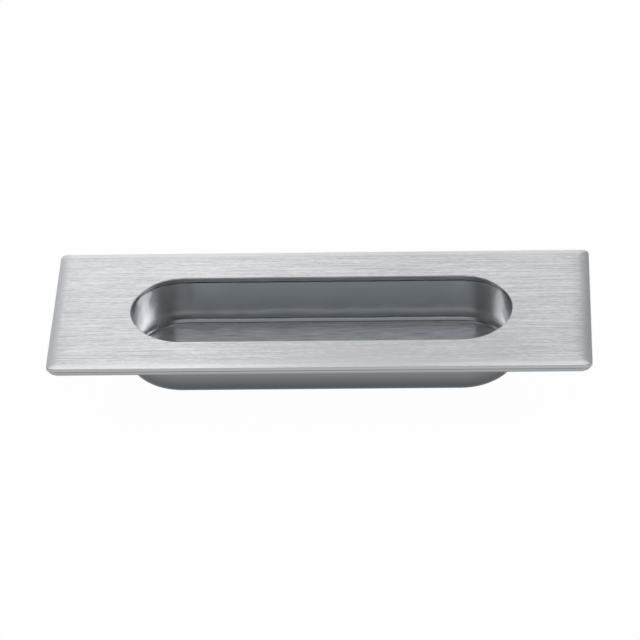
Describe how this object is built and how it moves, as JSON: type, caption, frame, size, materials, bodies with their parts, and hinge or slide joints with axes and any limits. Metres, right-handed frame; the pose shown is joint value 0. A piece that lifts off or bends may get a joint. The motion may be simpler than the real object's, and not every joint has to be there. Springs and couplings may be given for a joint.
{
  "type": "recessed pull handle",
  "caption": "Flush pull handle for a door or drawer front: a flat rectangular cover plate with an obround opening over a drawn cup for the fingers.",
  "frame": {"origin": "middle of the seat, in the plane of the flange's underside, where the handle lies on the door or drawer front", "axes": "+X along the handle, +Y across it, +Z out of the face towards the user"},
  "size_m": [0.12, 0.042, 0.014],
  "materials": {
    "brushed_face": "stainless steel with a fine straight grain along the handle",
    "drawn_cup": "stainless steel, smooth drawn walls and a lightly brushed floor"
  },
  "bodies": {
    "root": {"face_plate": "brushed_face", "cup": "drawn_cup"}
  },
  "joints": []
}
